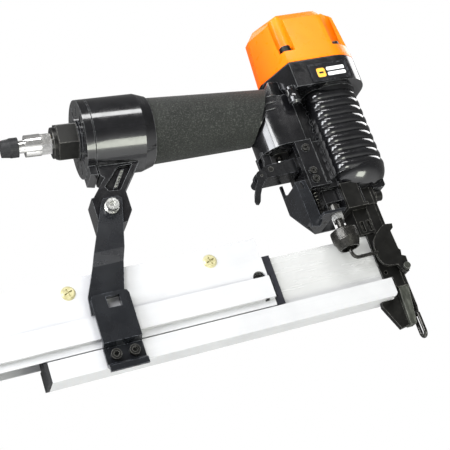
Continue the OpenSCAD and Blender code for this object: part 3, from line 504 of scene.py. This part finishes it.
marks = []
for z, x0, x1 in ((174.6, -57.5, -48.0), (179.8, -55.0, -46.0), (185.0, -52.5, -45.0)):
    a0 = math.degrees(math.acos((x0 - COLUMN_X) / COLUMN_R))
    path = [(x, y, z) for x, y in arc(COLUMN_X, 0, COLUMN_R, -a0, -90, 8)]
    path += [(x, -COLUMN_R, z) for x in (-47.0, -46.0, -45.0) if x <= x1]
    marks.append(sweep(path, mark_radius, sides=10))
add("cast_marks", "body", "black_enamel", MATERIALS["black_enamel"], *join(marks))


def plate(outline, y0, y1, inset):
    """A thin plate in the XZ plane with a chamfered front, from y0 out to y1."""
    n = len(outline)
    cx = sum(p[0] for p in outline) / n
    cz = sum(p[1] for p in outline) / n
    small = []
    for x, z in outline:
        d = math.hypot(x - cx, z - cz)
        small.append((x - (x - cx) / d * inset, z - (z - cz) / d * inset))
    mid = y0 + (y1 - y0) * 0.6
    verts = [Vector((x, y0, z)) for x, z in outline] + [Vector((x, mid, z)) for x, z in outline]
    verts += [Vector((x, y1, z)) for x, z in small]
    faces = []
    for ring in (0, n):
        for i in range(n):
            j = (i + 1) % n
            faces.append((ring + i, ring + j, ring + n + j, ring + n + i))
    faces.append(tuple(range(n)))
    faces.append(tuple(2 * n + i for i in reversed(range(n))))
    return verts, faces


def round_box(x0, x1, z0, z1, r, n=5):
    """Points round a rectangle with rounded corners."""
    out = []
    corners = ((x1 - r, z1 - r, 0), (x0 + r, z1 - r, 90), (x0 + r, z0 + r, 180), (x1 - r, z0 + r, 270))
    for cx, cz, a in corners:
        out += arc(cx, cz, r, a, a + 90, n)
    return out


# Worn face of the bar in the arm's pocket, with plain notches, on both sides
BOX_FACES = [(0, 1, 2, 3), (7, 6, 5, 4), (0, 4, 5, 1), (1, 5, 6, 2), (2, 6, 7, 3), (3, 7, 4, 0)]
BAR_Y, BAR_PADS = 8.0, 6
bar_faces = []
for side in (-1, 1):
    for k in range(BAR_PADS):
        a, b = k / BAR_PADS + 0.02, (k + 1) / BAR_PADS - 0.03
        foot = Vector((-177.4, BAR_Y * side, 142.2))
        head = Vector((-168.9, BAR_Y * side, 154.2))
        mid = [foot.lerp(head, t) for t in (a, b)]
        out, out2 = Vector((0, 0.22 * side, 0)), Vector((0.95, 0, -0.1))
        low = [mid[0] - out2, mid[0] + out2, mid[1] + out2, mid[1] - out2]
        top = [m + out + (mid[0].lerp(mid[1], 0.5) - m) * 0.12 for m in low]
        bar_faces.append((low + top, BOX_FACES))
add("arm_bar_face", "body", "worn_steel", MATERIALS["worn_steel"], *join(bar_faces), smooth=False)


# A plain badge: an orange tile with a dark bar on it, and two pale bars
tile = plate(round_box(-13.6, -7.0, 186.2, 193.6, 1.4), -31.98, -32.3, 0.15)
stripe = plate(round_box(-12.2, -8.4, 189.0, 190.6, 0.75), -32.28, -32.38, 0.1)
bars = [plate(round_box(-5.4, 9.0, z, z + 2.9, 0.9), -31.98, -32.28, 0.15) for z in (186.5, 190.7)]
parts = [tile, stripe] + bars
counts = [len(p[1]) for p in parts]
kinds = [0] * counts[0] + [2] * counts[1] + [1] * (counts[2] + counts[3])
add("badge_print", "body", "badge", None, *join(parts), smooth=False,
    mats=[PRINT_ORANGE, PRINT_WHITE, MATERIALS["badge"]], face_mats=kinds)


def thread(radius, depth, pitch, z0, z1, per_turn=28):
    """Helical ridge about Z, from z0 to z1, at the origin."""
    verts, faces = [], []
    n = int((z1 - z0) / pitch * per_turn)
    for i in range(n + 1):
        w = 2 * math.pi * i / per_turn
        z = z0 + pitch * i / per_turn
        fade = min(1.0, i / (per_turn / 2), (n - i) / (per_turn / 2))
        for r, dz in ((radius - 0.15, -0.42 * pitch), (radius + depth * fade, -0.06 * pitch),
                      (radius + depth * fade, 0.06 * pitch), (radius - 0.15, 0.42 * pitch)):
            verts.append(Vector((r * math.cos(w), r * math.sin(w), z + dz)))
    for i in range(n):
        a, b = 4 * i, 4 * i + 4
        for k in range(4):
            l = (k + 1) % 4
            faces.append((a + k, a + l, b + l, b + k))
    faces.append((3, 2, 1, 0))
    faces.append(tuple(4 * n + k for k in range(4)))
    return verts, faces


def placed(part, matrix):
    return [matrix @ v for v in part[0]], part[1]


ROD = (-34.8, -20.5)
rod = placed(thread(2.2, 0.3, 0.8, 74.6, 80.2), Matrix.Translation((ROD[0], ROD[1], 0)))
add("rod_thread", "contact_safety", "black_oxide", OILED, *rod)


def knurl(radius, z0, z1, count, height, cells=4):
    """Crossed diagonal knurling on a cylinder about Z."""
    cols = count * cells
    rows = int((z1 - z0) / (2 * math.pi * radius / count) * cells) + 2
    verts, faces = [], []
    for j in range(rows + 1):
        t = j / rows
        for i in range(cols):
            u, v = i / cells, t * rows / cells
            h = abs(((u + v) % 1) - 0.5) + abs(((u - v) % 1) - 0.5)
            edge = 0.0 if j in (0, rows) else 1.0
            r = radius + height * edge * h - (0.35 if j in (0, rows) else 0)
            w = 2 * math.pi * i / cols
            verts.append(Vector((r * math.cos(w), r * math.sin(w), z0 + (z1 - z0) * t)))
    for j in range(rows):
        for i in range(cols):
            k = (i + 1) % cols
            a, b = j * cols, (j + 1) * cols
            faces.append((a + i, a + k, b + k, b + i))
    for j, z in ((0, z0), (rows, z1)):
        ring = len(verts)
        for i in range(cols):
            w = 2 * math.pi * i / cols
            verts.append(Vector(((radius - 1.4) * math.cos(w), (radius - 1.4) * math.sin(w), z)))
        for i in range(cols):
            k = (i + 1) % cols
            faces.append((j * cols + i, j * cols + k, ring + k, ring + i))
    a, b = len(verts) - 2 * cols, len(verts) - cols
    for i in range(cols):
        k = (i + 1) % cols
        faces.append((a + i, a + k, b + k, b + i))
    return verts, faces


band = placed(knurl(9.45, 64.9, 71.6, 44, 0.2), Matrix.Translation((ROD[0], ROD[1], 0)))
add("knob_knurl", "depth_knob", "black_oxide", OILED, *band)

GRIP = Matrix.Translation((0, 0, 175.1)) @ Matrix.Rotation(math.radians(3.394), 4, "Y")
TO_X = Matrix.Rotation(math.radians(90), 4, "Y")
plug = placed(thread(4.9, 0.45, 1.3, -209.8, -206.4), GRIP @ TO_X)
add("plug_thread", "body", "chrome", BRASSY, *plug)

# Each coil spring gets a mesh of its own. The safety spring rides on the safety, so its seat is its lower
# end; the others are seated at the top.
for name, joint, x, y, seat, length, travel in (
    ("safety_spring", "safety_slide", -39.0, -8.0, 87.1, 21.7, 11.0),
    ("stem_spring", "stem_slide", -51.5, 0.0, 144.1, 4.05, 2.3),
    ("head_valve_spring", "head_valve_slide", 0.0, 0.0, 241.9, 29.8, 3.0),
):
    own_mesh(nodes[name])

# ---------------------------------------------------------------- stage


def stage_plane(name, size, z, colour):
    n = 12
    verts = [
        Vector(((i / n - 0.5) * size, (j / n - 0.5) * size, z))
        for j in range(n + 1) for i in range(n + 1)
    ]
    faces = [
        (j * (n + 1) + i, j * (n + 1) + i + 1, (j + 1) * (n + 1) + i + 1, (j + 1) * (n + 1) + i)
        for j in range(n) for i in range(n)
    ]
    mesh = bpy.data.meshes.new(name)
    mesh.from_pydata(verts, [], faces)
    t = Tree(name, specular=0.2)
    t.put("Base Color", t.ramp(t.noise(4), (0.3, colour), (0.7, tuple(c * 1.02 for c in colour))))
    t.put("Roughness", t.span(t.noise(12), 0.65, 0.8))
    mesh.materials.append(t.mat)
    obj = bpy.data.objects.new(name, mesh)
    bpy.context.scene.collection.objects.link(obj)
    return obj


stage_plane("floor", 8.0, -0.42, (0.90, 0.90, 0.90))

world = bpy.data.worlds.new("studio")
bpy.context.scene.world = world
world.use_nodes = True
sky = world.node_tree.nodes["Background"]
sky.inputs["Color"].default_value = (1.0, 1.0, 1.0, 1.0)
rays = world.node_tree.nodes.new("ShaderNodeLightPath")
level = world.node_tree.nodes.new("ShaderNodeMapRange")
level.inputs["To Min"].default_value = 0.18
level.inputs["To Max"].default_value = 1.0
world.node_tree.links.new(rays.outputs["Is Camera Ray"], level.inputs["Value"])
world.node_tree.links.new(level.outputs["Result"], sky.inputs["Strength"])
bpy.context.scene.view_settings.view_transform = "Standard"

# The camera looks up at the tool from in front of its near side, rolled a little
HEAD, RISE, ROLL = math.radians(-21.3), math.radians(-19.0), math.radians(19.4)
right = Vector((math.cos(HEAD), math.sin(HEAD), 0))
back = Vector((math.sin(HEAD) * math.cos(RISE), -math.cos(HEAD) * math.cos(RISE), math.sin(RISE)))
up = back.cross(right)
right_r = math.cos(ROLL) * right - math.sin(ROLL) * up
up_r = math.sin(ROLL) * right + math.cos(ROLL) * up
cam_data = bpy.data.cameras.new("camera")
cam_data.lens = 85.6
cam_data.sensor_width = 36
cam_data.clip_start = 0.01
cam = bpy.data.objects.new("camera", cam_data)
bpy.context.scene.collection.objects.link(cam)
pose = Matrix((right_r, up_r, back)).transposed().to_4x4()
pose.translation = Vector((-0.3629, -0.6539, -0.1395))
cam.matrix_world = pose
bpy.context.scene.camera = cam

CENTRE = Vector((-0.15, 0.0, 0.12))


def soft_light(name, offset, width, height, power, colour=(1, 1, 1)):
    """An area light aimed at the tool. offset is along the view's right, up and back directions."""
    data = bpy.data.lights.new(name, "AREA")
    data.shape = "RECTANGLE"
    data.size, data.size_y = width, height
    data.energy = power
    data.color = colour
    obj = bpy.data.objects.new(name, data)
    bpy.context.scene.collection.objects.link(obj)
    place = CENTRE + offset[0] * right_r + offset[1] * up_r + offset[2] * back
    z = (place - CENTRE).normalized()
    x = up_r.cross(z).normalized()
    m = Matrix((x, z.cross(x), z)).transposed().to_4x4()
    m.translation = place
    obj.matrix_world = m
    return obj


soft_light("softbox_left", (-0.68, 0.24, 0.56), 0.40, 0.7, 11.0, (0.94, 0.96, 1.0))
soft_light("softbox_front", (-0.30, 0.48, 0.78), 0.36, 0.34, 6.0, (0.97, 0.98, 1.0))
soft_light("softbox_top", (0.05, 0.85, 0.35), 0.8, 0.2, 6)
soft_light("floor_reflection", (0.42, -0.24, 0.43), 0.30, 0.34, 3.0, (0.97, 1.0, 0.88))
soft_light("fill_rear_right", (0.55, 0.60, -0.70), 0.7, 0.5, 5.0)
soft_light("fill_rear_left", (-0.65, 0.55, -0.60), 0.7, 0.5, 4.5)
soft_light("floor_bounce", (-0.05, -0.50, 0.10), 0.4, 0.2, 0.8, (0.97, 1.0, 0.94))
